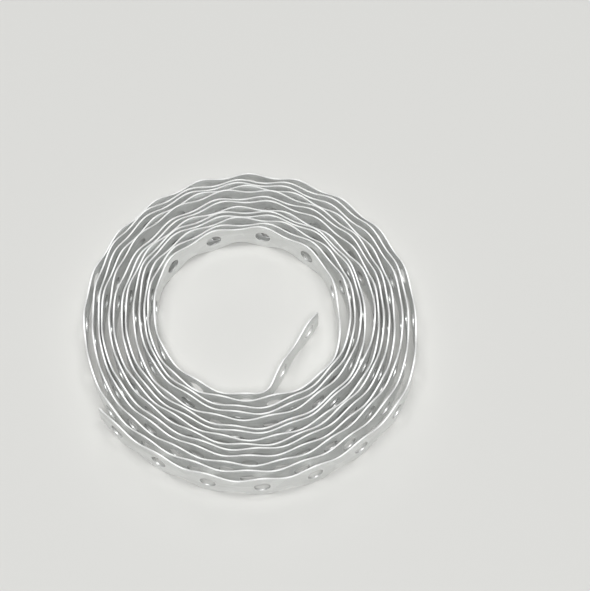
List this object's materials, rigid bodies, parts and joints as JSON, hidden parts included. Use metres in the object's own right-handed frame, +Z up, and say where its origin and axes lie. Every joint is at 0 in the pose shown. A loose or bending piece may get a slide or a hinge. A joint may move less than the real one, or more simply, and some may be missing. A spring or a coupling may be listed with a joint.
{
  "type": "coil of wavy perforated steel strap",
  "caption": "Loose flat coil of thin galvanised steel band with wavy edges and a round hole in each lobe; its inner end stands free in the bore.",
  "frame": {"origin": "middle of the coil's box, on the floor that it lies on", "axes": "+Z up along the coil's axis, +X to the right and +Y to the back, with the free inner end in the front right of the bore"},
  "size_m": [0.1104, 0.1162, 0.012],
  "materials": {
    "galvanised_band": "satin zinc coat, bright cut edges"
  },
  "bodies": {
    "root": {"strap": "galvanised_band"}
  },
  "joints": []
}
